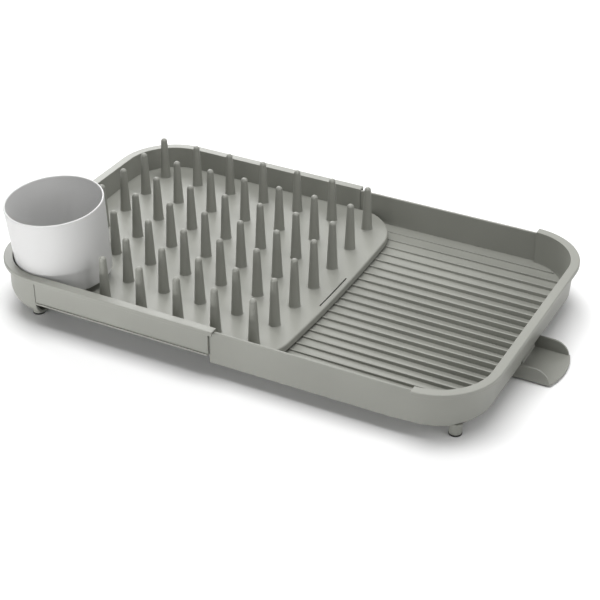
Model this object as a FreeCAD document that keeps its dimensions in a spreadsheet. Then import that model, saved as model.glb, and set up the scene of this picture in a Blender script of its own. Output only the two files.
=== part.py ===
import FreeCAD, Part
import Sketcher
import math
import os

# Extendable dish and bottle drying rack.
# Frame: millimetres, X along the length (spout at +X), Y across, Z up.
# The feet rest on Z = 0; X = 0 and Y = 0 are the middle of the extended rack.

doc = FreeCAD.newDocument("DryingRack")
dims = doc.addObject("Spreadsheet::Sheet", "Dims")

VALUES = [
    # overall outline shared by both trays
    ("half_width", 160.0),
    ("left_end", -274.7),
    ("right_end", 245.0),
    ("corner", 61.5),
    ("rim_width", 9.1),
    ("rim_top", 52.3),
    ("rim_thick", 1.8),
    ("lip_drop", 4.6),
    ("lip_thick", 1.9),
    ("skin_inset", 5.0),
    ("skin_thick", 2.7),
    ("skin_bottom", 5.0),
    ("wall_thick", 1.5),
    # sliding walls of the ribbed tray and the channel they run in
    ("slide_out", 155.4),
    ("slide_thick", 2.6),
    ("slide_top", 50.1),
    ("slide_start", -46.0),
    ("tongue_bottom", 24.8),
    ("tray_start", -18.0),
    ("step_x", 184.5),
    ("corner_wall_inset", 5.0),
    # the end wall leans in, then turns under towards the floor
    ("knee_z", 16.3),
    ("knee_side_inset", 5.5),
    ("knee_end_inset", 7.3),
    ("shin_z", 13.2),
    ("shin_side_inset", 9.3),
    ("shin_end_inset", 11.3),
    ("heel_z", 4.0),
    ("heel_side_inset", 12.0),
    ("heel_end_inset", 14.0),
    ("recess_x", 235.2),
    ("recess_top", 18.5),
    ("end_wall_thick", 4.1),
    # peg tray
    ("peg_rim_end", -12.3),
    ("slot_x", -213.0),
    ("slot_width", 2.4),
    ("skirt_end", -18.0),
    ("skirt_out", 157.6),
    ("skirt_thick", 1.7),
    ("skirt_bottom", 24.2),
    ("flange_out", 159.2),
    ("flange_height", 1.8),
    ("end_round", 18.0),
    ("end_ledge", 20.0),
    ("plate_edge", 37.3),
    ("plate_half", 150.9),
    ("plate_corner", 45.0),
    ("plate_thick", 2.2),
    ("plate_lip", 7.0),
    ("plate_left_mid", 26.2),
    ("plate_left_side", 28.8),
    ("plate_right_mid", 20.3),
    ("plate_right_side", 29.0),
    ("snap_x", 31.0),
    ("snap_slot", 1.6),
    ("snap_half", 29.0),
    # ribbed tray floor
    ("floor_thick", 2.2),
    ("floor_side", 18.2),
    ("floor_left_mid", 12.4),
    ("floor_right_mid", 6.2),
    ("rib_mid", 12.9),
    ("rib_side", 18.8),
    ("rib_pitch", 13.4),
    ("rib_thick", 2.0),
    ("rib_gap", 1.2),
    ("dish_half", 156.0),
    ("sky", 95.0),
    # pegs
    ("pitch_x", 41.0),
    ("pitch_y", 40.57),
    ("peg_first_x", -235.8),
    ("peg_base_r", 5.9),
    ("peg_tip_r", 3.45),
    ("peg_shoulder", 70.8),
    ("peg_root", 19.4),
    # utensil pot
    ("pot_x", -213.4),
    ("pot_y", -101.6),
    ("pot_z", 32.0),
    ("pot_lean", 4.5),
    ("pot_height", 80.5),
    ("pot_base_r", 46.5),
    ("pot_top_r", 48.75),
    ("pot_wall", 2.0),
    ("pot_round", 3.0),
    ("pot_floor", 2.4),
    ("pot_hole_r", 3.0),
    ("pot_hole_ring", 22.0),
    ("seat_r", 36.0),
    ("seat_thick", 2.0),
    # feet
    ("foot_r", 6.0),
    ("pad_r", 6.2),
    ("pad_height", 1.6),
    ("pad_plug_r", 2.5),
    ("pad_plug", 4.0),
    ("foot_left_x", -223.8),
    ("foot_left_y", 137.0),
    ("foot_right_x", 217.3),
    ("foot_right_y", 131.5),
    ("foot_inner_x", -6.0),
    ("foot_inner_y", 100.0),
    # spout and outlet
    ("spout_back", 229.0),
    ("spout_tip", 273.0),
    ("spout_bow", 74.0),
    ("spout_side_tip", 267.3),
    ("spout_side_round", 14.5),
    ("spout_half", 28.0),
    ("spout_wall", 2.0),
    ("spout_bottom", 1.5),
    ("spout_floor", 1.9),
    ("spout_top", 16.3),
    ("outlet_half", 16.8),
    ("outlet_bottom", 6.2),
    ("outlet_top", 13.4),
    ("play", 0.2),
    ("stopper_x", 234.0),
    ("stopper_bar_r", 2.45),
    ("stopper_bar_z", 10.75),
    ("gate_thick", 1.2),
    ("tongue_half", 3.5),
    ("tongue_length", 16.0),
    ("tongue_thick", 1.2),
]
for row, (name, value) in enumerate(VALUES, start=1):
    dims.set("A%d" % row, name)
    dims.set("B%d" % row, str(value))
    dims.setAlias("B%d" % row, name)
doc.recompute()
size = dict(VALUES)


def expr(text):
    """Point every dimension name in a formula at the spreadsheet."""
    out = ""
    word = ""
    for char in text + " ":
        if char.isalnum() or char == "_":
            word += char
            continue
        out += ("Dims." + word) if word in size else word
        out += char
        word = ""
    return out.strip()


def bind(obj, **props):
    """Tie properties to formulas; x, y and z place the object."""
    for key, text in props.items():
        path = "Placement.Base." + key if key in "xyz" else key
        obj.setExpression(path, expr(text))
    return obj


def box(x0, x1, y0, y1, z0, z1):
    """Box between two corners, each given as a formula."""
    obj = doc.addObject("Part::Box", "Block")
    bind(obj, Length="(%s) - (%s)" % (x1, x0))
    bind(obj, Width="(%s) - (%s)" % (y1, y0))
    bind(obj, Height="(%s) - (%s)" % (z1, z0))
    return bind(obj, x=x0, y=y0, z=z0)


def rod(radius, x, y, z0, z1):
    """Upright cylinder."""
    obj = doc.addObject("Part::Cylinder", "Rod")
    bind(obj, Radius=radius, Height="(%s) - (%s)" % (z1, z0))
    return bind(obj, x=x, y=y, z=z0)


def fuse(parts, refine=True):
    obj = doc.addObject("Part::MultiFuse", "Union")
    obj.Shapes = parts
    obj.Refine = refine
    return obj


def cut(base, tool):
    obj = doc.addObject("Part::Cut", "Difference")
    obj.Base = base
    obj.Tool = tool
    return obj


def common(first, second):
    obj = doc.addObject("Part::MultiCommon", "Overlap")
    obj.Shapes = [first, second]
    return obj


def value_of(formula):
    """Number that a formula over the dimensions comes to."""
    dims.set("D1", "=" + formula)
    dims.recompute()
    number = float(dims.get("D1"))
    dims.clear("D1")
    return number


def outline(side, tip, square_x, half, radius):
    """Closed plan outline: two rounded corners towards side, one square end."""
    sketch = doc.addObject("Sketcher::SketchObject", "Outline")
    point = FreeCAD.Vector
    tip0, square0, half0, radius0 = [value_of(text) for text in (tip, square_x, half, radius)]
    turn = tip0 - side * radius0
    narrow = half0 - radius0
    y0 = -side * half0
    first = 0 if side < 0 else 180
    corners = []
    for step in (0, 1):
        middle = point(turn, -side * narrow * (1 - 2 * step), 0)
        start = math.radians(first + 90 * (step + 1))
        circle = Part.Circle(middle, point(0, 0, 1), radius0)
        corners.append(Part.ArcOfCircle(circle, start, start + math.radians(90)))
    end0 = point(tip0, -side * narrow, 0)
    end1 = point(tip0, side * narrow, 0)
    sketch.addGeometry(Part.LineSegment(point(square0, y0, 0), point(turn, y0, 0)), False)
    sketch.addGeometry(corners[0], False)
    sketch.addGeometry(Part.LineSegment(end0, end1), False)
    sketch.addGeometry(corners[1], False)
    sketch.addGeometry(Part.LineSegment(point(turn, -y0, 0), point(square0, -y0, 0)), False)
    sketch.addGeometry(Part.LineSegment(point(square0, -y0, 0), point(square0, y0, 0)), False)
    rule = Sketcher.Constraint
    for number in range(4):
        sketch.addConstraint(rule("Tangent", number, 2, number + 1, 1))
    sketch.addConstraint(rule("Coincident", 4, 2, 5, 1))
    sketch.addConstraint(rule("Coincident", 5, 2, 0, 1))
    sketch.addConstraint(rule("Horizontal", 0))
    sketch.addConstraint(rule("Horizontal", 4))
    sketch.addConstraint(rule("Vertical", 2))
    sketch.addConstraint(rule("Vertical", 5))
    sketch.addConstraint(rule("Equal", 1, 3))
    low, high = (0, 4) if side > 0 else (4, 0)
    sizes = [("Radius", 1, radius0)]
    sizes.append(("DistanceY", -1, 1, high, 1, half0))
    sizes.append(("DistanceY", low, 1, -1, 1, half0))
    sizes.append(("DistanceX", -1, 1, 2, 1, tip0))
    sizes.append(("DistanceX", -1, 1, 5, 1, square0))
    for size_rule, formula in zip(sizes, (radius, half, half, tip, square_x)):
        index = sketch.addConstraint(rule(*size_rule))
        sketch.setExpression("Constraints[%d]" % index, expr(formula))
    return sketch


def raised(sketch, z0, z1):
    """Extrude a plan outline between two heights."""
    slab = doc.addObject("Part::Extrusion", "Slab")
    slab.Base = sketch
    slab.DirMode = "Custom"
    slab.Dir = FreeCAD.Vector(0, 0, 1)
    slab.Solid = True
    bind(slab, LengthFwd="(%s) - (%s)" % (z1, z0), z=z0)
    return slab


def end_slab(side, inset, square_x, z0, z1):
    """Slab with the plan outline of one tray, moved inwards by inset."""
    half = "half_width - (%s)" % inset
    radius = "corner - (%s)" % inset
    tip = "left_end + (%s)" % inset if side < 0 else "right_end - (%s)" % inset
    return raised(outline(side, tip, square_x, half, radius), z0, z1)


def placed(sketch, height):
    return bind(sketch, z=height)


def end_shape(side_inset, end_inset, height):
    """Plan outline of the ribbed tray's end with its own insets at the sides and the end."""
    half = "half_width - (%s)" % side_inset
    radius = "corner - (%s)" % side_inset
    return placed(outline(1, "right_end - (%s)" % end_inset, "slide_start", half, radius), height)


def tapered(low, high):
    """Solid between two plan outlines at different heights."""
    loft = doc.addObject("Part::Loft", "Tapered")
    loft.Sections = [low, high]
    loft.Solid = True
    loft.Ruled = True
    return loft


def leaning_end(shrink, top, levels):
    """Outside of the ribbed tray's end, or its inside where shrink is the wall's thickness."""
    high = end_shape("corner_wall_inset + " + shrink, "corner_wall_inset + " + shrink, top)
    parts = []
    for name in levels:
        side_inset = "%s_side_inset + %s" % (name, shrink)
        end_inset = "%s_end_inset + %s" % (name, shrink)
        low = end_shape(side_inset, end_inset, name + "_z")
        parts.append(tapered(low, high))
        high = low
    return fuse(parts)


def plate_slab(inset, z0, z1):
    """Slab with the plan outline of the peg plate's free end, moved inwards by inset."""
    half = "plate_half - (%s)" % inset
    radius = "plate_corner - (%s)" % inset
    tip = "plate_edge - (%s)" % inset
    return raised(outline(1, tip, "left_end + corner", half, radius), z0, z1)


def dish_section(x, side, mid, shift):
    """Cross-section of everything above a dished surface, as a sketch across the tray."""
    sketch = doc.addObject("Sketcher::SketchObject", "DishSection")
    turn = FreeCAD.Rotation(FreeCAD.Vector(1, 1, 1), 120)
    sketch.Placement = FreeCAD.Placement(FreeCAD.Vector(0, 0, 0), turn)
    bind(sketch, x=x)
    half = size["dish_half"]
    low, high = size["floor_side"], size["sky"]
    depth = low - size["floor_left_mid"]
    point = FreeCAD.Vector
    left, right = point(-half, low, 0), point(half, low, 0)
    arc = Part.Arc(left, point(0, low - depth, 0), right)
    sketch.addGeometry(arc, False)
    sketch.addGeometry(Part.LineSegment(right, point(half, high, 0)), False)
    sketch.addGeometry(Part.LineSegment(point(half, high, 0), point(-half, high, 0)), False)
    sketch.addGeometry(Part.LineSegment(point(-half, high, 0), left), False)
    rule = Sketcher.Constraint
    start = 1 if sketch.Geometry[0].StartPoint.x < 0 else 2
    sketch.addConstraint(rule("Coincident", 0, 3 - start, 1, 1))
    sketch.addConstraint(rule("Coincident", 1, 2, 2, 1))
    sketch.addConstraint(rule("Coincident", 2, 2, 3, 1))
    sketch.addConstraint(rule("Coincident", 3, 2, 0, start))
    sketch.addConstraint(rule("Vertical", 1))
    sketch.addConstraint(rule("Horizontal", 2))
    sketch.addConstraint(rule("Vertical", 3))
    sketch.addConstraint(rule("Symmetric", 0, 1, 0, 2, -2))
    wide = sketch.addConstraint(rule("DistanceX", 2, 2, 2, 1, 2 * half))
    rise = sketch.addConstraint(rule("DistanceY", -1, 1, 1, 1, low))
    lid = sketch.addConstraint(rule("DistanceY", -1, 1, 1, 2, high))
    bend = sketch.addConstraint(rule("Radius", 0, (half ** 2 + depth ** 2) / (2 * depth)))
    sag = "((%s) - (%s))" % (side, mid)
    sketch.setExpression("Constraints[%d]" % wide, expr("2 * dish_half"))
    sketch.setExpression("Constraints[%d]" % rise, expr("(%s) - (%s)" % (side, shift)))
    sketch.setExpression("Constraints[%d]" % lid, expr("sky"))
    curve = "(dish_half * dish_half + %s * %s) / (2 * %s)" % (sag, sag, sag)
    sketch.setExpression("Constraints[%d]" % bend, expr(curve))
    return sketch


def above_dish(x0, side0, mid0, x1, side1, mid1, shift):
    """Solid filling the space above a dished surface lowered by shift."""
    loft = doc.addObject("Part::Loft", "AboveDish")
    loft.Sections = [dish_section(x0, side0, mid0, shift), dish_section(x1, side1, mid1, shift)]
    loft.Solid = True
    loft.Ruled = True
    return loft


def over_plate(shift):
    far = ("left_end - 5", "plate_left_side", "plate_left_mid")
    near = ("plate_edge + 5", "plate_right_side", "plate_right_mid")
    return above_dish(*far, *near, shift)


def over_floor(shift):
    far = ("slide_start - 5", "floor_side", "floor_left_mid")
    near = ("right_end + 5", "floor_side", "floor_right_mid")
    return above_dish(*far, *near, shift)


def round_edges(base, radius_name, choose):
    """Fillet the edges that choose() accepts."""
    doc.recompute()
    obj = doc.addObject("Part::Fillet", "Rounded")
    obj.Base = base
    radius = dims.get(radius_name) if isinstance(radius_name, str) else radius_name
    picked = []
    for number, edge in enumerate(base.Shape.Edges, start=1):
        if choose(edge):
            picked.append((number, radius, radius))
    obj.Edges = picked
    return obj


def leaning(obj):
    """Stand something on the pot's seat, leaning towards the near left corner."""
    toward = FreeCAD.Vector(0.85, -0.53, 0)
    obj.Placement.Rotation = FreeCAD.Rotation(toward, 1)
    obj.setExpression("Placement.Rotation.Angle", expr("pot_lean"))
    return bind(obj, x="pot_x", y="pot_y", z="pot_z")


def named(obj, label):
    obj.Label = label
    NODES.append((label, obj))
    return obj


NODES = []
BOTH = ("-", "")

# ---------------------------------------------------------------- ribbed tray
tray_outer = leaning_end("0", "rim_top - rim_thick", ("knee", "shin", "heel"))
tray_cavity = leaning_end("end_wall_thick", "rim_top - rim_thick", ("knee", "heel"))
end_zone = box("step_x", "right_end", "-half_width", "half_width", "0", "sky")
body_zone = box("tray_start", "right_end", "-half_width", "half_width", "0", "sky")
slide_in = "(slide_out - slide_thick)"
walls = [common(cut(tray_outer, tray_cavity), end_zone)]
for sign in BOTH:
    near, far = (slide_in, "slide_out")
    if sign:
        near, far = ("-slide_out", "-" + slide_in)
    walls.append(box("tray_start", "step_x + 1", near, far, "0", "slide_top"))
    walls.append(box("slide_start", "tray_start + 1", near, far, "tongue_bottom", "slide_top"))
tray_floor = common(cut(tray_outer, over_floor("0")), body_zone)
tray_shell = common(fuse(walls + [tray_floor]), over_floor("floor_thick"))
rim_outer = end_slab(1, "0", "slide_start", "rim_top - rim_thick", "rim_top")
rim_inner = end_slab(1, "rim_width", "slide_start - 1", "rim_top - 20", "rim_top + 1")
lip_outer = end_slab(1, "0", "slide_start", "rim_top - lip_drop", "rim_top - rim_thick")
lip_inner = end_slab(1, "lip_thick", "slide_start - 1", "0", "rim_top")
tray_rim = common(cut(rim_outer, rim_inner), end_zone)
tray_lip = common(cut(lip_outer, lip_inner), end_zone)
posts = []
for sign in BOTH:
    y_right = "%sfoot_right_y" % sign
    y_inner = "%sfoot_inner_y" % sign
    posts.append(rod("foot_r", "foot_right_x", y_right, "pad_height", "floor_side - 4.2"))
    posts.append(rod("foot_r", "foot_inner_x", y_inner, "pad_height", "floor_side - 4.2"))
tray_solid = fuse([tray_shell, tray_rim, tray_lip] + posts)
outlet = box(
    "stopper_x - 8", "right_end", "-outlet_half", "outlet_half", "outlet_bottom", "outlet_top",
)
sockets = []
for sign in BOTH:
    for name in ("right", "inner"):
        x_name = "foot_%s_x" % name
        y_name = "%sfoot_%s_y" % (sign, name)
        sockets.append(rod("pad_plug_r", x_name, y_name, "0", "pad_height + pad_plug"))
channel_half = "(spout_half - spout_wall)"
recess = box(
    "recess_x", "right_end + 1", "-" + channel_half, channel_half, "outlet_bottom", "recess_top",
)
tray_done = cut(cut(tray_solid, recess), fuse([outlet] + sockets, False))
named(tray_done, "ribbed_tray")

# ----------------------------------------------------------------- drain ribs
rib_boxes = []
RIB_PAIRS = 11
for number in range(RIB_PAIRS):
    middle = "(%d + 0.5) * rib_pitch" % number
    for sign in BOTH:
        y0 = "%s(%s) - rib_thick / 2" % (sign, middle)
        y1 = "%s(%s) + rib_thick / 2" % (sign, middle)
        rib_boxes.append(box("tray_start + 3", "right_end", y0, y1, "heel_z", "25"))
rib_zone = end_slab(1, "rim_width + rib_gap", "slide_start", "0", "30")
rib_zone = common(rib_zone, tray_cavity)
level = ("rib_side", "rib_mid")
rib_top = above_dish("slide_start - 5", *level, "right_end + 5", *level, "0")
ribs = common(fuse(rib_boxes, False), rib_zone)
ribs = common(ribs, over_floor("0"))
ribs = cut(ribs, rib_top)
named(ribs, "drain_ribs")

# ---------------------------------------------------------------------- spout
spout_sides = box(
    "spout_back", "spout_side_tip", "-spout_half", "spout_half", "spout_bottom", "spout_top",
)
spout_sides = round_edges(
    spout_sides, "spout_side_round",
    lambda edge: edge.BoundBox.YLength > size["spout_half"]
    and edge.BoundBox.XMin > size["spout_side_tip"] - 1
    and edge.BoundBox.ZMin > size["spout_top"] - 1,
)
spout_bed = box(
    "spout_back", "spout_tip", "-spout_half", "spout_half",
    "spout_bottom", "spout_bottom + spout_floor",
)
spout_bow = rod("spout_bow", "spout_tip - spout_bow", "0", "0", "sky")
spout_space = box(
    "spout_back - 1", "spout_tip + 1", "-(spout_half - spout_wall)", "spout_half - spout_wall",
    "spout_bottom + spout_floor", "spout_top + 1",
)
spout_body = common(fuse([spout_sides, spout_bed]), spout_bow)
spout_body = cut(cut(spout_body, spout_space), common(tray_outer, over_floor("floor_thick")))
named(spout_body, "spout")

# -------------------------------------------------------------------- stopper
bar = doc.addObject("Part::Cylinder", "GripBar")
bar.Placement.Rotation = FreeCAD.Rotation(FreeCAD.Vector(1, 0, 0), -90)
bind(bar, Radius="stopper_bar_r", Height="2 * (outlet_half - play)")
bind(bar, x="stopper_x", y="-(outlet_half - play)", z="stopper_bar_z")
gate = box(
    "stopper_x - gate_thick / 2", "stopper_x + gate_thick / 2",
    "-(outlet_half - play)", "outlet_half - play",
    "outlet_bottom + play", "stopper_bar_z",
)
tongue = box(
    "stopper_x - tongue_length", "stopper_x", "-tongue_half", "tongue_half",
    "stopper_bar_z - tongue_thick / 2", "stopper_bar_z + tongue_thick / 2",
)
named(fuse([bar, gate, tongue]), "outlet_stopper")

# ------------------------------------------------------------------- peg tray
rim_low = "rim_top - rim_thick"
ring_outer = end_slab(-1, "0", "peg_rim_end", rim_low, "rim_top")
ring_inner = end_slab(-1, "rim_width", "peg_rim_end + 1", "rim_top - 20", "rim_top + 1")
drop_outer = end_slab(-1, "0", "peg_rim_end", "rim_top - lip_drop", rim_low)
drop_inner = end_slab(-1, "lip_thick", "peg_rim_end + 1", "0", "rim_top")
wall_outer = end_slab(-1, "rim_width - wall_thick", "peg_rim_end", "0", rim_low)
wall_inner = end_slab(-1, "rim_width", "peg_rim_end + 1", "0", "rim_top")
inner_wall = cut(wall_outer, wall_inner)
plate_start = end_slab(-1, "rim_width", "peg_rim_end", "0", "rim_top - 15")
plate = fuse([plate_start, plate_slab("0", "0", "rim_top - 15")])
plate = common(cut(plate, over_plate("0")), over_plate("plate_thick"))
lip_ring = cut(plate_slab("0", "0", "rim_top - 15"), plate_slab("2", "-1", "rim_top"))
lip_zone = box("peg_rim_end - 0.5", "plate_edge + 1", "-half_width", "half_width", "0", "sky")
lip_ring = common(lip_ring, lip_zone)
lip_ring = common(cut(lip_ring, over_plate("0")), over_plate("plate_lip"))
inner_wall = common(inner_wall, over_plate("plate_thick"))

skin_outer = end_slab(-1, "skin_inset", "slot_x", "skin_bottom", rim_low)
skin_outer = round_edges(
    skin_outer, "end_round",
    lambda edge: edge.BoundBox.ZMax < size["skin_bottom"] + 0.1
    and edge.BoundBox.XMin < size["slot_x"] - 1,
)
skin_inner = end_slab(
    -1, "skin_inset + skin_thick", "slot_x + 1", "skin_bottom + skin_thick", "rim_top",
)
skin_inner = round_edges(
    skin_inner, size["end_round"] - size["skin_thick"],
    lambda edge: edge.BoundBox.ZMax < size["skin_bottom"] + size["skin_thick"] + 0.1
    and edge.BoundBox.XMin < size["slot_x"] - 1,
)
skin_open = end_slab(-1, "skin_inset + end_ledge", "slot_x + 1", "0", "rim_top")
end_skin = cut(cut(skin_outer, skin_inner), skin_open)

sides = []
for sign in BOTH:
    low, high = ("skirt_out - skirt_thick", "skirt_out")
    ledge = ("skirt_out - skirt_thick", "flange_out")
    if sign:
        low, high = ("-skirt_out", "-(skirt_out - skirt_thick)")
        ledge = ("-flange_out", "-(skirt_out - skirt_thick)")
    sides.append(box("slot_x + slot_width", "skirt_end", low, high, "skirt_bottom", rim_low))
    top = "skirt_bottom + flange_height"
    sides.append(box("slot_x + slot_width", "skirt_end", ledge[0], ledge[1], "skirt_bottom", top))
    y_left = sign + "foot_left_y"
    sides.append(rod("foot_r", "foot_left_x", y_left, "pad_height", "plate_left_side - 1.4"))
seat_ring = cut(
    rod("seat_r", "0", "0", "-12", "0"), rod("seat_r - seat_thick", "0", "0", "-13", "1"),
)
seat = common(leaning(seat_ring), over_plate("1"))
hook = [cut(ring_outer, ring_inner), cut(drop_outer, drop_inner)]
peg_shell = fuse(hook + [inner_wall, plate, lip_ring, end_skin, seat] + sides)
snap_slot = box("snap_x", "snap_x + snap_slot", "-snap_half", "snap_half", "0", "sky")
holes = [snap_slot]
for sign in BOTH:
    holes.append(rod("pad_plug_r", "foot_left_x", sign + "foot_left_y", "0", "pad_height + pad_plug"))
peg_tray = cut(peg_shell, fuse(holes, False))
named(peg_tray, "peg_tray")

# ----------------------------------------------------------------------- pegs
PEGS_PER_ROW = 7
FIRST_PEG = (0, 0, 0, 0, 1, 2, 2)
for row, first in enumerate(FIRST_PEG):
    row_pegs = []
    for column in range(first, PEGS_PER_ROW):
        x = "peg_first_x + %d * pitch_x" % column
        y = "(%d) * pitch_y" % (3 - row)
        cone = doc.addObject("Part::Cone", "Peg")
        bind(cone, Radius1="peg_base_r", Radius2="peg_tip_r", Height="peg_shoulder - peg_root")
        bind(cone, x=x, y=y, z="peg_root")
        ball = doc.addObject("Part::Sphere", "PegTip")
        bind(ball, Radius="peg_tip_r", x=x, y=y, z="peg_shoulder")
        row_pegs.append(fuse([cone, ball]))
    trimmed = common(fuse(row_pegs, False), over_plate("0"))
    named(trimmed, "peg_row_%d" % (row + 1))

# ----------------------------------------------------------------- utensil pot
pot_out = doc.addObject("Part::Cone", "PotOutside")
bind(pot_out, Radius1="pot_base_r", Radius2="pot_top_r", Height="pot_height")
pot_in = doc.addObject("Part::Cone", "PotInside")
bind(pot_in, Radius1="pot_base_r - pot_wall", Radius2="pot_top_r - pot_wall", Height="pot_height")
bind(pot_in, z="pot_floor")
pot_rounded = round_edges(
    pot_out, "pot_round", lambda edge: edge.BoundBox.ZMax < 1 and edge.BoundBox.XLength > 1,
)
pot_holes = [pot_in, rod("pot_hole_r", "0", "0", "-1", "pot_floor + 2")]
HOLE_STEP = 60
for turn in range(0, 360, HOLE_STEP):
    x, y = ("pot_hole_ring * cos(%d deg)" % turn, "pot_hole_ring * sin(%d deg)" % turn)
    pot_holes.append(rod("pot_hole_r", x, y, "-1", "pot_floor + 2"))
pot = leaning(cut(pot_rounded, fuse(pot_holes, False)))
named(pot, "utensil_pot")

# ----------------------------------------------------------------------- pads
for name in ("left", "right", "inner"):
    for sign, place in (("-", "near"), ("", "far")):
        x_name = "foot_%s_x" % name
        y_name = "%sfoot_%s_y" % (sign, name)
        pad = rod("pad_r", x_name, y_name, "0", "pad_height")
        plug = rod("pad_plug_r", x_name, y_name, "pad_height - 1", "pad_height + pad_plug")
        named(fuse([pad, plug]), "foot_pad_%s_%s" % (name, place))

doc.recompute()
for obj in doc.Objects:
    if "Invalid" in obj.State or "Error" in obj.State:
        raise RuntimeError("%s did not build" % obj.Label)
os.makedirs("parts", exist_ok=True)
for label, obj in NODES:
    if obj.Shape.isNull() or not obj.Shape.isValid():
        raise RuntimeError("%s has no valid shape" % label)
    obj.Shape.exportStep("parts/%s.step" % label)
    print(label, len(obj.Shape.Solids))
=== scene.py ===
import math
import bmesh
import bpy
from mathutils import Matrix, Vector


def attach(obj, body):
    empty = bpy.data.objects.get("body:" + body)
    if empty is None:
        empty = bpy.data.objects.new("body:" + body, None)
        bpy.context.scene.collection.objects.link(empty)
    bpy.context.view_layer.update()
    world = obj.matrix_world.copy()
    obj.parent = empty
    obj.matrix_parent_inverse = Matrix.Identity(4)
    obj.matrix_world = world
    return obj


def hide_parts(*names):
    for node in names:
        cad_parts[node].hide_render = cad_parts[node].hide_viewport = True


# Extendable drying rack. Shapes are in millimetres and scaled on the way into meshes; the
# floor, the lights and the camera are in metres.
MM = 0.001
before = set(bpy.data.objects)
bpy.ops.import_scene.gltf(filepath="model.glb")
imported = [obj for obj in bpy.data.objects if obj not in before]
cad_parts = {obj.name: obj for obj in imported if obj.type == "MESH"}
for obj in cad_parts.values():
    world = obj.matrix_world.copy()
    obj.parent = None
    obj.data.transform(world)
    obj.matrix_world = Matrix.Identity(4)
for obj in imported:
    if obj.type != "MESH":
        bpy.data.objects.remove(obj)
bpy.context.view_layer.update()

HALF, CORNER = 160.0, 61.5
LEFT_END, RIGHT_END = -274.7, 245.0
RIM_W, RIM_TOP, RIM_T, LIP_DROP, LIP_T = 9.1, 52.3, 1.8, 4.6, 1.9
RIM_LOW, LIP_LOW = RIM_TOP - RIM_T, RIM_TOP - LIP_DROP
INNER_WALL = 1.5
LIP_RUN = 4.0
DISH_HALF = 156.0
PLATE_EDGE, PLATE_HALF, PLATE_CORNER, PLATE_LIP = 37.3, 150.9, 45.0, 7.0
FLOOR_T = 2.2
STEP_X, PEG_RIM_END = 184.5, -12.3
TONGUE_START, TRAY_START, TONGUE_LOW = -46.0, -18.0, 24.8
SLOT_X, SKIRT_START, SKIRT_END, SKIRT_LOW = -213.0, -210.6, -18.0, 24.2
WALL_INSET, WALL_T = 5.0, 4.1
SIDE_OUT, SIDE_IN, SIDE_TOP, SIDE_BLEND = 4.6, 7.2, 50.1, 24.0
KNEE_Z, KNEE_INSET, KNEE_LEAN = 16.3, 5.5, 1.8
SHIN_Z, SHIN_INSET = 13.2, 9.3
HEEL_Z, HEEL_INSET, HEEL_LEAN = 4.0, 12.0, 2.0
PITCH_X, PITCH_Y, FIRST_X = 41.0, 40.57, -235.8
PEG_ROOT, PEG_SHOULDER, PEG_BASE_R, PEG_TIP_R = 19.4, 70.8, 5.9, 3.45
POT_SEAT = Vector((-213.4, -101.6, 32.0))
POT_LEAN, POT_LEAN_AXIS = math.radians(4.5), Vector((0.85, -0.53, 0.0))
PAD_H, PAD_R, POST_R = 1.6, 6.2, 6.0
POST_SINK = 1.0
FEET = {
    "left": (-223.8, 137.0, "peg_body"),
    "right": (217.3, 131.5, "ribbed_body"),
    "inner": (-6.0, 100.0, "ribbed_body"),
}
# heights of the dished sheets: at the side and on the centreline, at one end and at the other
PLATE_LEFT, PLATE_RIGHT = (28.8, 26.2), (29.0, 20.3)
FLOOR_LEFT, FLOOR_RIGHT = (18.2, 12.4), (18.2, 6.2)
RIB_TOPS = (18.8, 12.9)
SHEET_OVERRUN = 5.0
OUTLET_HALF, OUTLET_LOW, OUTLET_HIGH = 16.8, 6.2, 13.4
GATE_HALF = OUTLET_HALF - 0.2


# ------------------------------------------------------------------ materials
def new_material(name):
    """An empty node material, with its nodes, links and shader."""
    material = bpy.data.materials.new(name)
    material.use_nodes = True
    nodes = material.node_tree.nodes
    return material, nodes, material.node_tree.links, nodes["Principled BSDF"]


def moulded(name, colour, rough, grain, depth, speck=0.06):
    """Moulded plastic: faint colour drift, fine spark-eroded grain, uneven gloss."""
    material, nodes, links, shader = new_material(name)
    coords = nodes.new("ShaderNodeTexCoord")
    drift = nodes.new("ShaderNodeTexNoise")
    drift.inputs["Scale"].default_value = 9.0
    drift.inputs["Detail"].default_value = 3.0
    links.new(coords.outputs["Object"], drift.inputs["Vector"])
    tone = nodes.new("ShaderNodeValToRGB")
    tone.color_ramp.elements[0].position = 0.3
    tone.color_ramp.elements[1].position = 0.7
    tone.color_ramp.elements[0].color = [c * (1 - speck) for c in colour] + [1]
    tone.color_ramp.elements[1].color = [min(1, c * (1 + speck)) for c in colour] + [1]
    links.new(drift.outputs["Fac"], tone.inputs["Fac"])
    links.new(tone.outputs["Color"], shader.inputs["Base Color"])
    fine = nodes.new("ShaderNodeTexNoise")
    fine.inputs["Scale"].default_value = grain
    fine.inputs["Detail"].default_value = 4.0
    fine.inputs["Roughness"].default_value = 0.65
    links.new(coords.outputs["Object"], fine.inputs["Vector"])
    gloss = nodes.new("ShaderNodeMapRange")
    gloss.inputs["To Min"].default_value = rough - 0.06
    gloss.inputs["To Max"].default_value = rough + 0.08
    links.new(fine.outputs["Fac"], gloss.inputs["Value"])
    links.new(gloss.outputs["Result"], shader.inputs["Roughness"])
    bump = nodes.new("ShaderNodeBump")
    bump.inputs["Strength"].default_value = depth
    bump.inputs["Distance"].default_value = 0.00012
    links.new(fine.outputs["Fac"], bump.inputs["Height"])
    links.new(bump.outputs["Normal"], shader.inputs["Normal"])
    shader.inputs["Specular IOR Level"].default_value = 0.45
    return material


TRAY = moulded("tray_plastic", (0.262, 0.265, 0.238), 0.42, 900.0, 0.35)
POT = moulded("pot_plastic", (0.57, 0.57, 0.565), 0.38, 700.0, 0.15, 0.015)
RUBBER = moulded("foot_rubber", (0.018, 0.018, 0.018), 0.72, 1400.0, 0.6, 0.2)


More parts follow.
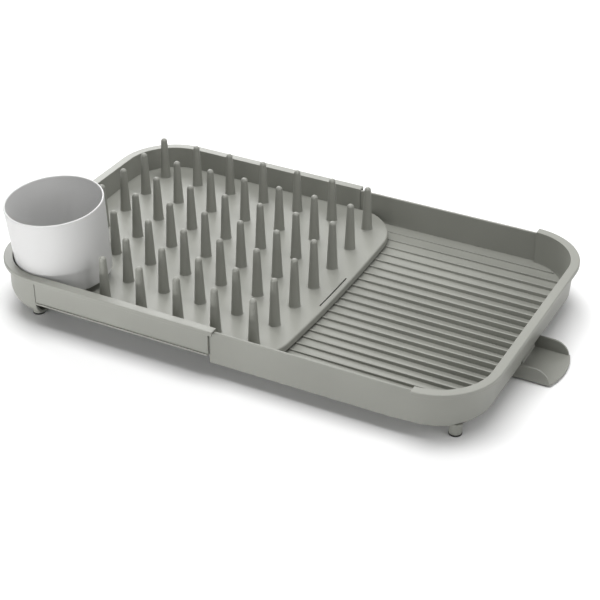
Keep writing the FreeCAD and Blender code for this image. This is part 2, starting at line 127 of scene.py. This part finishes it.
# ---------------------------------------------------------------- mesh helpers
def piece(name, bm, body, material, replaced=(), angle=38.0):
    """Finish a bmesh as a piece of the object riding on a CAD body."""
    bmesh.ops.recalc_face_normals(bm, faces=bm.faces)
    for vert in bm.verts:
        vert.co *= MM
    mesh = bpy.data.meshes.new(name)
    bm.to_mesh(mesh)
    bm.free()
    mesh.materials.append(material)
    for face in mesh.polygons:
        face.use_smooth = True
    mesh.set_sharp_from_angle(angle=math.radians(angle))
    obj = bpy.data.objects.new(name, mesh)
    bpy.context.scene.collection.objects.link(obj)
    smooth = obj.modifiers.new("flat_faces", "WEIGHTED_NORMAL")
    smooth.keep_sharp = True
    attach(obj, body)
    if replaced:
        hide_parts(*replaced)
    return obj


def rounded(points, default=0.0, steps=5):
    """Round the corners of a closed profile. A point is (a, b) or (a, b, radius)."""
    out = []
    count = len(points)
    for i, point in enumerate(points):
        here = Vector(point[:2])
        radius = point[2] if len(point) > 2 else default
        before = Vector(points[i - 1][:2])
        after = Vector(points[(i + 1) % count][:2])
        if radius <= 0:
            out.append(tuple(here))
            continue
        u, v = (before - here).normalized(), (after - here).normalized()
        half = math.acos(max(-1, min(1, u.dot(v)))) / 2
        reach = radius / math.tan(half)
        centre = here + (u + v).normalized() * (radius / math.sin(half))
        start, stop = here + u * reach - centre, here + v * reach - centre
        span = math.pi - 2 * half
        sign = 1 if start.x * stop.y - start.y * stop.x > 0 else -1
        for k in range(steps + 1):
            t = sign * span * k / steps
            c, s = math.cos(t), math.sin(t)
            out.append((centre.x + start.x * c - start.y * s, centre.y + start.x * s + start.y * c))
    return out


def loft(bm, rings, closed_path=False, caps=True):
    """Skin a list of rings (each a list of 3-D points) into a tube of quads."""
    loops = [[bm.verts.new(p) for p in ring] for ring in rings]
    count = len(loops[0])
    pairs = list(zip(loops, loops[1:]))
    if closed_path:
        pairs.append((loops[-1], loops[0]))
    for a, b in pairs:
        for i in range(count):
            j = (i + 1) % count
            bm.faces.new((a[i], a[j], b[j], b[i]))
    if caps and not closed_path:
        bm.faces.new(loops[0][::-1])
        bm.faces.new(loops[-1])


def circle(steps):
    """Equal angles round a full turn."""
    return [2 * math.pi * k / steps for k in range(steps)]


def quarter(steps, first=0):
    """Equal angles from nothing to a right angle, leaving out those before first."""
    return [math.pi / 2 * k / steps for k in range(first, steps + 1)]


def lathe(bm, profile, cx, cy, steps=40):
    """Turn an open (radius, z) profile about an upright axis; ends on the axis are closed."""
    rings = []
    for radius, z in profile:
        if radius < 1e-6:
            rings.append([bm.verts.new((cx, cy, z))])
        else:
            points = [(cx + radius * math.cos(a), cy + radius * math.sin(a), z) for a in circle(steps)]
            rings.append([bm.verts.new(point) for point in points])
    for a, b in zip(rings, rings[1:]):
        for k in range(steps):
            m = (k + 1) % steps
            if len(a) == 1:
                bm.faces.new((a[0], b[k], b[m]))
            elif len(b) == 1:
                bm.faces.new((a[k], a[m], b[0]))
            else:
                bm.faces.new((a[k], a[m], b[m], b[k]))


def stations(side, tip, square_x, straight, turn, end, half=HALF, corner=CORNER):
    """Stations along a rounded outline, from the near side round the end to the far side.

    Each is a function of the inset at the sides and at the end that gives a plan point.
    Where the corner of a leaning wall begins before square_x, its first part is left out.
    """
    def station(kind, t, sign):
        def place(inset, end_inset):
            radius = corner - inset
            centre = tip - side * (end_inset + radius)
            behind = max(0.0, min(1.0, side * (square_x - centre) / radius))
            first = math.asin(behind)
            if kind == "run" and not behind:
                return square_x + (centre - square_x) * t, sign * (half - inset)
            if kind == "run":
                return square_x, sign * (half - corner + radius * math.cos(first))
            if kind == "turn":
                angle = first + (math.pi / 2 - first) * t
                across = half - corner + radius * math.cos(angle)
                return centre + side * radius * math.sin(angle), sign * across
            return tip - side * end_inset, (half - corner) * t
        return place
    runs = [("run", k / max(1, straight)) for k in range(straight + 1)]
    turns = [("turn", k / turn) for k in range(1, turn + 1)]
    near = [station(kind, t, -1) for kind, t in runs + turns]
    across = [station("end", 2.0 * k / end - 1.0, 0) for k in range(1, end)]
    far = [station(kind, t, 1) for kind, t in (runs + turns)[::-1]]
    return near + across + far


def shrunk(section, depth):
    """A closed section with its outline moved inwards, to round off the end of a sweep."""
    count = len(section)
    pairs = [(section[i - 1], section[i]) for i in range(count)]
    turn = sum(a[0] * b[1] - b[0] * a[1] for a, b in pairs)
    side = 1.0 if turn > 0 else -1.0
    out = []
    for i, (a, b) in enumerate(section):
        before, after = Vector(section[i - 1]), Vector(section[(i + 1) % count])
        run = (after - before).normalized() * side
        out.append((a - run.y * depth, b + run.x * depth))
    return out


def sweep(bm, section, path, lean=lambda z: 0.0, side=1):
    """Sweep a closed (inset, z) section along stations; lean adds to the inset at the end.

    Both ends are eased over their last half millimetre.
    """
    def ring(place, depth=0.0, shift=0.0):
        points = shrunk(section(place), depth) if depth else section(place)
        flat = [(*place(inset, inset + lean(z)), z) for inset, z in points]
        return [(x + side * shift, y, z) for x, y, z in flat]
    ease = ((0.45, 0.0), (0.14, 0.16), (0.0, 0.5))
    rings = [ring(path[0], depth, shift) for depth, shift in ease]
    rings += [ring(place) for place in path[1:-1]]
    rings += [ring(path[-1], depth, shift) for depth, shift in reversed(ease)]
    loft(bm, rings)


def sag(y, side, mid):
    """Height of an arc across the tray: mid on the centreline, side at DISH_HALF."""
    depth = side - mid
    radius = (DISH_HALF ** 2 + depth ** 2) / (2 * depth)
    return mid + radius - math.sqrt(radius ** 2 - min(abs(y), HALF - 1.0) ** 2)


def dished(x, y, start, end, left, right):
    """Height of a sheet whose arc changes evenly from one end to the other."""
    x0, x1 = start - SHEET_OVERRUN, end + SHEET_OVERRUN
    t = (x - x0) / (x1 - x0)
    return sag(y, *left) * (1 - t) + sag(y, *right) * t


def plate_z(x, y):
    """Top of the peg plate."""
    return dished(x, y, LEFT_END, PLATE_EDGE, PLATE_LEFT, PLATE_RIGHT)


def floor_z(x, y):
    """Top of the draining floor."""
    return dished(x, y, TONGUE_START, RIGHT_END, FLOOR_LEFT, FLOOR_RIGHT)


def rib_z(y):
    """Top of a draining rib, level along its length."""
    return sag(y, *RIB_TOPS)


def slab_width(x, x0, x1, half, r0, r1):
    """Half width at x of a slab with rounded corners r0 at x0 and r1 at x1."""
    for tip, radius, gap in ((x0, r0, x - x0), (x1, r1, x1 - x)):
        if radius > 0 and gap < radius:
            return half - radius + math.sqrt(max(0.0, radius ** 2 - (radius - gap) ** 2))
    return half


def spaced(x0, x1, r0, r1, step, extra=()):
    """X stations, closer together where the corners turn."""
    xs = {x0, x1}
    for radius, tip, sign in ((r0, x0, 1), (r1, x1, -1)):
        if radius > 0:
            xs |= {round(tip + sign * radius * (1 - math.cos(a)), 4) for a in quarter(20, 1)}
    low, high = x0 + r0, x1 - r1
    count = max(1, int((high - low) / step))
    for k in range(count + 1):
        xs.add(round(low + (high - low) * k / count, 4))
    xs |= set(extra)
    return sorted(xs)


def dished_slab(bm, x0, x1, half, r0, r1, height, thick, slot=None):
    """Thin dished sheet with rounded corners; slot = (x0, x1, y half) is cut through it.

    The middle rows keep their y along the whole sheet, so that the slot stays straight.
    """
    band, share = 60.0, 0.4
    edge = slot[2] / (band / share) if slot else 0.0
    xs = spaced(x0, x1, r0, r1, 8.0, slot[:2] if slot else ())
    ts = sorted({k / 20 for k in range(-20, 21)} | ({-edge, edge} if slot else set()))
    top, low = [], []
    for x in xs:
        wide = slab_width(x, x0, x1, half, r0, r1)
        inner = min(band, wide)
        for grid, drop in ((top, 0.0), (low, thick)):
            row = []
            for t in ts:
                if abs(t) <= share:
                    y = inner * t / share
                else:
                    y = math.copysign(inner + (abs(t) - share) / (1 - share) * (wide - inner), t)
                row.append(bm.verts.new((x, y, height(x, y) - drop)))
            grid.append(row)

    def solid(i, j):
        """Whether the sheet has material in a cell: not outside it, and not in the slot."""
        if not (0 <= i < len(xs) - 1 and 0 <= j < len(ts) - 1):
            return False
        x, t = (xs[i] + xs[i + 1]) / 2, (ts[j] + ts[j + 1]) / 2
        return not (slot and slot[0] < x < slot[1] and abs(t) < edge)

    for i in range(len(xs) - 1):
        for j in range(len(ts) - 1):
            if not solid(i, j):
                continue
            corners = [(i, j), (i + 1, j), (i + 1, j + 1), (i, j + 1)]
            bm.faces.new([top[a][b] for a, b in corners])
            bm.faces.new([low[a][b] for a, b in corners[::-1]])
            beyond = [(i, j - 1), (i + 1, j), (i, j + 1), (i - 1, j)]
            for (a, b), (c, d), cell in zip(corners, corners[1:] + corners[:1], beyond):
                if not solid(*cell):
                    bm.faces.new((top[a][b], low[a][b], low[c][d], top[c][d]))


def merge(bm, other):
    """Add another bmesh's geometry to bm."""
    mesh = bpy.data.meshes.new("merging")
    other.to_mesh(mesh)
    other.free()
    bm.from_mesh(mesh)
    bpy.data.meshes.remove(mesh)


def rounded_box(bm, x0, x1, y0, y1, z0, z1, radius):
    """Box with its edges rounded."""
    part = bmesh.new()
    bmesh.ops.create_cube(part, size=1.0)
    for vert in part.verts:
        vert.co.x = x0 if vert.co.x < 0 else x1
        vert.co.y = y0 if vert.co.y < 0 else y1
        vert.co.z = z0 if vert.co.z < 0 else z1
    bmesh.ops.bevel(part, geom=part.edges[:], offset=radius, segments=3, profile=0.5, affect="EDGES")
    merge(bm, part)


def carve(bm, cutter):
    """Subtract one closed mesh from another and return the result."""
    objects = []
    for source in (bm, cutter):
        source.normal_update()
        bmesh.ops.recalc_face_normals(source, faces=source.faces)
        mesh = bpy.data.meshes.new("carving")
        source.to_mesh(mesh)
        source.free()
        objects.append(bpy.data.objects.new("carving", mesh))
        bpy.context.scene.collection.objects.link(objects[-1])
    modifier = objects[0].modifiers.new("carve", "BOOLEAN")
    modifier.operation = "DIFFERENCE"
    modifier.solver = "EXACT"
    modifier.object = objects[1]
    bpy.context.view_layer.update()
    result = bmesh.new()
    result.from_object(objects[0], bpy.context.evaluated_depsgraph_get())
    for obj in objects:
        mesh = obj.data
        bpy.data.objects.remove(obj)
        bpy.data.meshes.remove(mesh)
    return result


def lean_on_seat(bm):
    """Stand a mesh on the pot's seat, leaning towards the near left corner."""
    turn = Matrix.Translation(POT_SEAT) @ Matrix.Rotation(POT_LEAN, 4, POT_LEAN_AXIS)
    bmesh.ops.transform(bm, matrix=turn, verts=bm.verts)


def post(bm, x, y, top):
    """Foot post above its pad, with the pad's socket in its end."""
    lathe(bm, [
        (0.0, PAD_H + 4.1), (2.6, PAD_H + 4.0), (2.6, PAD_H + 0.2),
        (POST_R - 0.5, PAD_H), (POST_R - 0.1, PAD_H + 0.15), (POST_R, PAD_H + 0.6),
        (POST_R, top - 1.5), (POST_R + 1.2, top), (0.0, top),
    ], x, y)


# ---------------------------------------------------------------- ribbed tray
def along(levels, z):
    """Value at a height, from (z, value) levels listed downwards."""
    for (z0, v0), (z1, v1) in zip(levels, levels[1:]):
        if z >= z1:
            return v1 + (v0 - v1) * min(1.0, (z - z1) / (z0 - z1))
    return levels[-1][1]


def end_lean(z):
    """How much further in the wall stands at the end than at the sides."""
    return along([(RIM_LOW - 3.0, 0.0), (KNEE_Z, KNEE_LEAN), (HEEL_Z, HEEL_LEAN)], z)


def outer_inset(z):
    """How far in the end wall's outer face stands at a height, at the sides."""
    shin = (SHIN_Z, SHIN_INSET)
    return along([(RIM_LOW, WALL_INSET), (KNEE_Z, KNEE_INSET), shin, (HEEL_Z, HEEL_INSET)], z)


def inner_inset(z):
    """How far in its inner face stands; that one has no shin."""
    return WALL_T + along([(RIM_LOW, WALL_INSET), (KNEE_Z, KNEE_INSET), (HEEL_Z, HEEL_INSET)], z)


def end_section(place):
    """Section of the rim, lip, leaning end wall and the edge of the floor."""
    level = floor_z(*place(12.0, 13.5))
    under = level - FLOOR_T - 0.03
    level_in = floor_z(*place(17.0, 19.0))
    knee_out = max(KNEE_Z, under + 1.8)
    shin = min(max(SHIN_Z, under + 0.9), knee_out - 0.8)
    knee_in = max(KNEE_Z, level + 3.5)
    foot = inner_inset(level)
    return rounded([
        (0.0, LIP_LOW, 0.6), (0.0, RIM_TOP, 1.1), (RIM_W, RIM_TOP, 0.6),
        (inner_inset(knee_in), knee_in, 0.5), (foot, level, 1.2), (foot + 5.0, level_in + 0.03, 0.0),
        (foot + 5.0, level_in - FLOOR_T - 0.03, 0.0), (outer_inset(under) + 0.4, under, 0.4),
        (outer_inset(shin), shin, 0.3), (outer_inset(knee_out), knee_out, 0.5),
        (WALL_INSET, RIM_LOW, 0.5), (LIP_T, RIM_LOW, 0.4), (LIP_T, LIP_LOW, 0.6),
    ], steps=4)


def corner_face(x, z):
    """How far from the centreline the outer face stands where the corner begins."""
    radius = CORNER - outer_inset(z)
    centre = RIGHT_END - outer_inset(z) - end_lean(z) - radius
    return HALF - CORNER + math.sqrt(radius ** 2 - max(0.0, x - centre) ** 2)


def side_wall(bm, sign, start, end, low=None, slim=0.0):
    """Thin straight wall down to the floor, or to low, that runs smoothly into the corner."""
    section = rounded([
        (SIDE_OUT, -1.0), (SIDE_OUT, KNEE_Z), (SIDE_OUT, RIM_LOW - 3.0),
        (SIDE_OUT, SIDE_TOP, 1.0), (SIDE_IN, SIDE_TOP, 1.0), (SIDE_IN, -1.0),
    ], steps=4)
    middle = (SIDE_OUT + SIDE_IN) / 2
    blend_start = min(end, STEP_X - SIDE_BLEND)
    spots = [(start, 0.55), (start + 0.3, 0.22), (start + 1.0, 0.0)]
    spots += [(start + 1.0 + (blend_start - start - 1.0) * k / 12, 0.0) for k in range(1, 13)]
    if end > blend_start:
        spots += [(blend_start + (end - blend_start) * k / 12, 0.0) for k in range(1, 13)]
    rings = []
    for x, tuck in spots:
        share = max(0.0, min(1.0, (x - STEP_X + SIDE_BLEND) / SIDE_BLEND))
        share *= share * (3.0 - 2.0 * share)
        ring = []
        for inset, z in section:
            bottom = low if low else floor_z(x, HALF - inset) - FLOOR_T
            height = max(z, bottom + (0.4 if z > 0 else 0.0))
            away = HALF - inset - slim
            if inset < middle:
                away += (corner_face(x, height) - HALF + SIDE_OUT) * share - tuck
            else:
                away += tuck
            ring.append((x, sign * away, height))
        rings.append(ring)
    loft(bm, rings)


shell = bmesh.new()
sweep(shell, end_section, stations(1, RIGHT_END, STEP_X, 0, 24, 40), end_lean)
recess = bmesh.new()
rounded_box(recess, 235.2, RIGHT_END + 3.0, -25.9, 25.9, 6.4, 18.5, 0.5)
outlet = bmesh.new()
rounded_box(outlet, 222.0, RIGHT_END + 1.0, -OUTLET_HALF, OUTLET_HALF, OUTLET_LOW, OUTLET_HIGH, 0.8)
bm = carve(carve(shell, recess), outlet)
for sign in (-1, 1):
    side_wall(bm, sign, TRAY_START, STEP_X + 0.5)
    side_wall(bm, sign, TONGUE_START, TRAY_START + 0.5, TONGUE_LOW, 0.25)
slab = bmesh.new()
dished_slab(slab, TRAY_START, RIGHT_END - 16.0, HALF - 6.6, 0.0, 44.0, floor_z, FLOOR_T)
merge(bm, slab)
for name in ("right", "inner"):
    x, y, _ = FEET[name]
    for sign in (-1, 1):
        post(bm, x, sign * y, floor_z(x, y) - POST_SINK)
piece("ribbed_shell", bm, "ribbed_body", TRAY, ("ribbed_tray",))


def rib_reach(y, z):
    """How far a rib runs towards the end wall at a height."""
    inset = inner_inset(z) + 0.2
    end_inset = max(inset + end_lean(z), RIM_W + 1.2)
    limit = HALF - CORNER
    if abs(y) <= limit:
        return RIGHT_END - end_inset
    radius = CORNER - max(inset, RIM_W + 1.2)
    return RIGHT_END - end_inset - radius + math.sqrt(max(0.0, radius ** 2 - (abs(y) - limit) ** 2))


bm = bmesh.new()
RIB_PAIRS, RIB_PITCH, RIB_HALF, RIB_GAP, RIB_STEPS = 11, 13.4, 1.0, 3.0, 24
for number in range(RIB_PAIRS):
    for sign in (-1, 1):
        y = sign * (number + 0.5) * RIB_PITCH
        edge = abs(y) + RIB_HALF
        start, end = TRAY_START + RIB_GAP, rib_reach(edge, rib_z(y))
        rings = []
        for k in range(RIB_STEPS + 1):
            x = start + (end - start) * k / RIB_STEPS
            low = floor_z(x, y) - 0.3
            high = max(rib_z(y), low + 0.5)
            cut = min(0.6, (high - low) * 0.6)
            crown = [(0.95, high - cut), (0.85, high - cut * 0.4), (0.55, high - cut * 0.08)]
            outline = [(-RIB_HALF, low), (RIB_HALF, low)] + crown + [(0.0, high)]
            outline += [(-dy, z) for dy, z in crown[::-1]]
            ring = []
            for dy, z in outline:
                last = min(x, rib_reach(edge, max(z, 8.0))) if k == RIB_STEPS else x
                ring.append((last, y + dy, z))
            rings.append(ring)
        loft(bm, rings)
piece("ribs", bm, "ribbed_body", TRAY, ("drain_ribs",))

# ---------------------------------------------------------------------- spout
SPOUT_BACK, SPOUT_TIP, SPOUT_BOW, SPOUT_HALF = 229.5, 273.0, 74.0, 28.0
SPOUT_LOW, SPOUT_BED, SPOUT_TOP = 1.5, 3.4, 16.3
CHEEK_END, CHEEK_ROUND = 267.0, 16.0


def bowed(y):
    """Where the spout's curved tip lies at a distance from the middle."""
    return SPOUT_TIP - SPOUT_BOW + math.sqrt(SPOUT_BOW ** 2 - y ** 2)


def wall_face(z):
    """Outer face of the end wall at a height, in the middle of the end."""
    return RIGHT_END - outer_inset(z) - end_lean(z)


bm = bmesh.new()
bed_half = SPOUT_HALF - 0.4
rings = []
for k in range(29):
    y = -bed_half + 2 * bed_half * k / 28
    tip = bowed(y)
    bed = rounded([
        (SPOUT_BACK, SPOUT_LOW), (tip, SPOUT_LOW, 0.7), (tip, SPOUT_BED, 0.9), (SPOUT_BACK, SPOUT_BED),
    ], steps=4)
    rings.append([(x, y, z) for x, z in bed])
loft(bm, rings)
# the side walls' outline: back against the end wall, top curving down to the tip
outline = [(SPOUT_BACK, SPOUT_LOW), (230.0, 5.8)]
outline += [(wall_face(z) - 0.2, z) for z in (7.0, 10.0, 13.0, SPOUT_TOP)]
for a in quarter(14)[:-1]:
    x = CHEEK_END - CHEEK_ROUND + CHEEK_ROUND * math.sin(a)
    outline.append((x, SPOUT_LOW + (SPOUT_TOP - SPOUT_LOW) * math.cos(a)))
outline.append((CHEEK_END - 0.1, SPOUT_LOW))
centre = Vector((248.0, 6.0))
layers = ((0.0, 0.75), (0.2, 0.35), (0.75, 0.0), (1.35, 0.0), (1.85, 0.3), (2.1, 0.75))
for sign in (-1, 1):
    rings = []
    for offset, shrink in layers:
        y = sign * (SPOUT_HALF - offset)
        ring = []
        for x, z in outline:
            pull = (centre - Vector((x, z))).normalized() * shrink
            z_new = z + pull.y if z > 3.0 else z
            x_new = x + pull.x if x > 250.0 else x
            ring.append((min(x_new, bowed(y)), y, z_new))
        rings.append(ring)
    loft(bm, rings)
piece("spout_channel", bm, "ribbed_body", TRAY, ("spout",), 50.0)

# -------------------------------------------------------------------- stopper
BAR_X, BAR_Z, BAR_R = 234.0, 10.75, 2.45
SHEET_HALF, TONGUE_LENGTH, TONGUE_HALF = 0.6, 16.0, 3.5
bm = bmesh.new()
tip = [(0.0, 0.5), (0.25, 0.8), (0.8, 0.95), (1.6, 1.0)]
ends = [(-GATE_HALF + gap, scale) for gap, scale in tip]
ends += [(GATE_HALF - gap, scale) for gap, scale in tip[::-1]]
rings = []
for y, scale in ends:
    radius = BAR_R * scale
    rings.append([(BAR_X + radius * math.cos(a), y, BAR_Z + radius * math.sin(a)) for a in circle(24)])
loft(bm, rings)
rounded_box(bm, BAR_X - SHEET_HALF, BAR_X + SHEET_HALF, -GATE_HALF, GATE_HALF, OUTLET_LOW + 0.2, BAR_Z, 0.3)
rounded_box(bm, BAR_X - TONGUE_LENGTH, BAR_X, -TONGUE_HALF, TONGUE_HALF,
            BAR_Z - SHEET_HALF, BAR_Z + SHEET_HALF, 0.4)
piece("stopper", bm, "stopper_body", TRAY, ("outlet_stopper",))


# ------------------------------------------------------------------- peg tray
def hook_section(place):
    """Section of the hooked rim and the inner wall down to the plate."""
    low = plate_z(*place(RIM_W, RIM_W)) - FLOOR_T
    outer = RIM_W - INNER_WALL
    return rounded([
        (0.0, LIP_LOW, 0.6), (0.0, RIM_TOP, 1.1), (RIM_W, RIM_TOP, 0.6), (RIM_W, low, 0.3),
        (outer, low, 0.3), (outer, RIM_LOW, 0.5), (LIP_T, RIM_LOW, 0.4), (LIP_T, LIP_LOW, 0.6),
    ], steps=4)


SKIN_OUT, SKIN_LOW, SKIN_T, SKIN_ROUND, SKIN_LEDGE = 5.0, 5.0, 2.7, 18.0, 20.0
SKIRT_OUT, SKIRT_IN, BEAD_OUT, BEAD_H = 2.4, 4.1, 0.8, 1.8
INTO_RIM = RIM_TOP - 1.1
skin_in, skin_end, skin_floor = SKIN_OUT + SKIN_T, SKIN_OUT + SKIN_LEDGE, SKIN_LOW + SKIN_T
SKIN = rounded([
    (SKIN_OUT, INTO_RIM), (SKIN_OUT, SKIN_LOW, SKIN_ROUND), (skin_end, SKIN_LOW, 0.8),
    (skin_end, skin_floor, 0.8), (skin_in, skin_floor, SKIN_ROUND - SKIN_T), (skin_in, INTO_RIM),
], steps=12)
SKIRT = rounded([
    (SKIRT_OUT, INTO_RIM), (SKIRT_OUT, SKIRT_LOW + BEAD_H, 0.5), (BEAD_OUT, SKIRT_LOW + BEAD_H, 0.7),
    (BEAD_OUT, SKIRT_LOW, 0.7), (SKIRT_IN, SKIRT_LOW, 0.4), (SKIRT_IN, INTO_RIM),
], steps=4)
bm = bmesh.new()
sweep(bm, hook_section, stations(-1, LEFT_END, PEG_RIM_END, 10, 24, 30), side=-1)
sweep(bm, lambda place: SKIN, stations(-1, LEFT_END, SLOT_X, 1, 24, 30), side=-1)
ease = ((SKIRT_START, 0.4), (SKIRT_START + 0.4, 0.0), (SKIRT_END - 0.4, 0.0), (SKIRT_END, 0.4))
x, y, _ = FEET["left"]
for sign in (-1, 1):
    loft(bm, [[(e, sign * (HALF - inset), z) for inset, z in shrunk(SKIRT, depth)] for e, depth in ease])
    post(bm, x, sign * y, plate_z(x, y) - POST_SINK)
dished_slab(bm, LEFT_END + RIM_W - 0.4, PLATE_EDGE - LIP_RUN, PLATE_HALF,
            CORNER - RIM_W, PLATE_CORNER - LIP_RUN, plate_z, FLOOR_T, slot=(31.0, 32.6, 29.0))


def edge_section(place):
    """Rounded bead and turned-down lip at the plate's free edge."""
    out, inside = plate_z(*place(0.0, 0.0)), plate_z(*place(LIP_RUN, LIP_RUN))
    return rounded([
        (0.0, out - PLATE_LIP, 0.5), (0.0, out, 1.7), (LIP_RUN, inside, 0.0),
        (LIP_RUN, inside - FLOOR_T, 0.0), (2.0, out - FLOOR_T, 0.3), (2.0, out - PLATE_LIP, 0.5),
    ])


sweep(bm, edge_section, stations(1, PLATE_EDGE, PEG_RIM_END - 0.5, 2, 24, 40, PLATE_HALF, PLATE_CORNER))
SEAT_R, SEAT_T, SEAT_SINK = 36.0, 2.0, 9.0
seat = bmesh.new()
inside = SEAT_R - SEAT_T
section = [
    (inside, -SEAT_SINK), (inside, -0.3), (inside + 0.3, 0.0),
    (SEAT_R - 0.3, 0.0), (SEAT_R, -0.3), (SEAT_R, -SEAT_SINK),
]
rings = [[(r * math.cos(a), r * math.sin(a), z) for r, z in section] for a in circle(64)]
loft(seat, rings, closed_path=True)
lean_on_seat(seat)
merge(bm, seat)
piece("peg_plate", bm, "peg_body", TRAY, ("peg_tray",))

# the pot's corner takes the first pegs of the three nearest rows
FIRST_COLUMNS, COLUMNS = (0, 0, 0, 0, 1, 2, 2), 7
PEG_SINK, PEG_FLARE, PEG_FLARE_H, PEG_DOME = 0.3, 1.0, 1.2, 3.4


def peg_profile(base):
    """A peg's outline: flared foot in the plate, tapered shaft, rounded tip."""
    taper = (PEG_BASE_R - PEG_TIP_R) / (PEG_SHOULDER - PEG_ROOT)
    profile = [(0.0, base - PEG_SINK - 0.1)]
    for a in quarter(4):
        z = base - PEG_SINK + PEG_FLARE_H * (1 - math.cos(a))
        profile.append((PEG_BASE_R - (z - PEG_ROOT) * taper + PEG_FLARE * (1 - math.sin(a)), z))
    start = base - PEG_SINK + PEG_FLARE_H
    for k in range(1, 9):
        z = start + (PEG_SHOULDER - start) * k / 8
        profile.append((PEG_BASE_R - (z - PEG_ROOT) * taper, z))
    dome = [(PEG_TIP_R * math.cos(a), PEG_SHOULDER + PEG_DOME * math.sin(a)) for a in quarter(9, 1)]
    return profile + dome[:-1] + [(0.0, PEG_SHOULDER + PEG_DOME)]


for row, first in enumerate(FIRST_COLUMNS):
    bm = bmesh.new()
    y = PITCH_Y * (3 - row)
    for column in range(first, COLUMNS):
        x = FIRST_X + PITCH_X * column
        lathe(bm, peg_profile(plate_z(x, y)), x, y, 32)
    name = "peg_row_%d" % (row + 1)
    piece("pegs_%d" % (row + 1), bm, "peg_body", TRAY, (name,), 60.0)

# ----------------------------------------------------------------- utensil pot
POT_H, POT_BASE_R, POT_TOP_R, POT_WALL, POT_ROUND, POT_FLOOR = 80.5, 46.5, 48.75, 2.0, 3.0, 2.4
LIP_R = POT_WALL / 2
HOLE_R, HOLE_RING, HOLES = 3.0, 22.0, 6


def pot_radius(z):
    """Outer radius of the pot's slightly conical wall."""
    return POT_BASE_R + (POT_TOP_R - POT_BASE_R) * z / POT_H


profile = [(0.0, 0.0)]
for a in quarter(6):
    profile.append((POT_BASE_R - POT_ROUND * (1 - math.sin(a)), POT_ROUND * (1 - math.cos(a))))
for k in range(1, 9):
    z = POT_ROUND + (POT_H - LIP_R - POT_ROUND) * k / 8
    profile.append((pot_radius(z), z))
for k in range(1, 9):
    a = math.pi * k / 8
    profile.append((POT_TOP_R - LIP_R + LIP_R * math.cos(a), POT_H - LIP_R + LIP_R * math.sin(a)))
profile += [(pot_radius(z) - POT_WALL, z) for z in (60.0, 40.0, 20.0, 6.0)]
profile += [(pot_radius(4.0) - POT_WALL - 0.7, 3.6), (pot_radius(3.0) - POT_WALL - 2.2, POT_FLOOR)]
profile.append((0.0, POT_FLOOR))
pot = bmesh.new()
lathe(pot, profile, 0, 0, 112)
cutter = bmesh.new()
centres = [(HOLE_RING * math.cos(a), HOLE_RING * math.sin(a)) for a in circle(HOLES)] + [(0.0, 0.0)]
for x, y in centres:
    lathe(cutter, [(0.0, -1.0), (HOLE_R, -1.0), (HOLE_R, 4.0), (0.0, 4.0)], x, y, 24)
pot = carve(pot, cutter)
lean_on_seat(pot)
piece("pot", pot, "pot_body", POT, ("utensil_pot",), 50.0)

# ----------------------------------------------------------------------- feet
PAD_PROFILE = [
    (0.0, 0.25), (4.4, 0.25), (4.7, 0.0), (5.8, 0.0), (PAD_R - 0.1, 0.15), (PAD_R, 0.45),
    (PAD_R, 1.25), (PAD_R - 0.25, 1.5), (PAD_R - 0.6, PAD_H - 0.02),
    (2.5, PAD_H), (2.5, PAD_H + 3.6), (2.2, PAD_H + 3.9), (0.0, PAD_H + 3.95),
]
for name, (x, y, body) in FEET.items():
    for sign, place in ((-1, "near"), (1, "far")):
        bm = bmesh.new()
        lathe(bm, PAD_PROFILE, x, sign * y, 36)
        node = "foot_pad_%s_%s" % (name, place)
        piece("pad_%s_%s" % (name, place), bm, body, RUBBER, (node,))

# ------------------------------------------------------- floor, light, camera
floor_mesh = bpy.data.meshes.new("ground")
floor_mesh.from_pydata([(-6, -6, 0), (6, -6, 0), (6, 6, 0), (-6, 6, 0)], [], [(0, 1, 2, 3)])
ground = bpy.data.objects.new("ground", floor_mesh)
bpy.context.scene.collection.objects.link(ground)
paper, _, _, shader = new_material("ground_white")
shader.inputs["Base Color"].default_value = (0.9, 0.9, 0.9, 1)
shader.inputs["Roughness"].default_value = 0.9
floor_mesh.materials.append(paper)

world = bpy.data.worlds.new("studio")
bpy.context.scene.world = world
world.use_nodes = True
world.node_tree.nodes["Background"].inputs["Color"].default_value = (1, 1, 1, 1)
world.node_tree.nodes["Background"].inputs["Strength"].default_value = 0.09


def area(name, place, width, depth, power, aim=(0, 0, 0.02)):
    """Soft rectangular light aimed at the rack."""
    light = bpy.data.lights.new(name, "AREA")
    light.shape = "RECTANGLE"
    light.size, light.size_y, light.energy = width, depth, power
    obj = bpy.data.objects.new(name, light)
    obj.location = place
    obj.rotation_euler = (Vector(aim) - Vector(place)).to_track_quat("-Z", "Y").to_euler()
    bpy.context.scene.collection.objects.link(obj)


area("overhead", (0.0, 0.0, 1.6), 1.2, 0.9, 23.0)
area("back_left", (-1.0, 0.9, 0.8), 1.0, 0.8, 15.0)
area("back", (0.0, 1.3, 0.9), 1.4, 0.8, 6.0)
area("right", (1.4, 0.0, 0.7), 1.0, 0.8, 6.0)
area("front", (-0.1, -1.4, 0.55), 1.2, 0.7, 6.5)
area("bounce", (-0.25, -0.45, 0.012), 0.45, 0.02, 0.5, (-0.15, -0.1, 0.035))

camera_data = bpy.data.cameras.new("camera")
camera_data.lens = 93.19
camera_data.sensor_width = 36.0
camera_data.clip_end = 50
camera = bpy.data.objects.new("camera", camera_data)
camera.location = (0.6023, -1.1652, 0.8245)
camera.rotation_euler = Vector((-0.3916, 0.7513, -0.5312)).to_track_quat("-Z", "Y").to_euler()
bpy.context.scene.collection.objects.link(camera)
bpy.context.scene.camera = camera
bpy.context.scene.view_settings.view_transform = "Standard"
